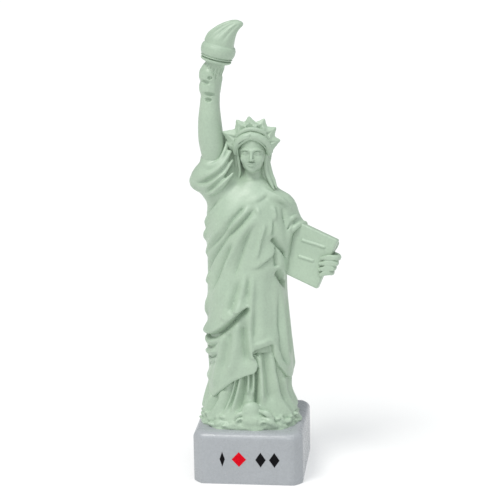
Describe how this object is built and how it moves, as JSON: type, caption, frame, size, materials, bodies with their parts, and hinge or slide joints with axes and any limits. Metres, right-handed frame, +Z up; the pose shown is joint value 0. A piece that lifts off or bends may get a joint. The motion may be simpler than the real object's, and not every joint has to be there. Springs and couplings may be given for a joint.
{
  "type": "miniature landmark model",
  "caption": "Small foam souvenir figurine of a robed, crowned torch bearer holding a tablet, standing on a square plinth.",
  "frame": {"origin": "centre of the plinth's underside", "axes": "+Z up, through the plinth; the figure and the printed face look towards -Y; +X is towards the tablet, on the viewer's right"},
  "size_m": [0.0523, 0.0385, 0.1582],
  "materials": {
    "verdigris_paint": "pale mint-green satin paint on soft moulded foam",
    "grey_paint": "light grey satin paint on soft moulded foam",
    "black_ink": "black printed ink",
    "red_ink": "red printed ink"
  },
  "bodies": {
    "root": {"bodice": "verdigris_paint", "chain_link_left": "verdigris_paint", "chain_link_right": "verdigris_paint", "crown_ray_1": "verdigris_paint", "crown_ray_2": "verdigris_paint", "crown_ray_3": "verdigris_paint", "crown_ray_4": "verdigris_paint", "crown_ray_5": "verdigris_paint", "crown_ray_6": "verdigris_paint", "crown_ray_7": "verdigris_paint", "diadem": "verdigris_paint", "face_and_neck": "verdigris_paint", "foot": "verdigris_paint", "footing": "verdigris_paint", "hair": "verdigris_paint", "hair_roll": "verdigris_paint", "left_forearm": "verdigris_paint", "left_hand": "verdigris_paint", "left_sleeve": "verdigris_paint", "mantle": "verdigris_paint", "right_arm": "verdigris_paint", "right_hand": "verdigris_paint", "right_sleeve": "verdigris_paint", "tablet": "verdigris_paint", "torch_collar": "verdigris_paint", "torch_cup": "verdigris_paint", "torch_flame": "verdigris_paint", "torch_grip": "verdigris_paint", "tunic_skirt": "verdigris_paint", "plinth": "grey_paint", "print_lozenge_1": "black_ink", "print_lozenge_2": "red_ink", "print_lozenge_3": "black_ink", "print_lozenge_4": "black_ink"}
  },
  "joints": []
}
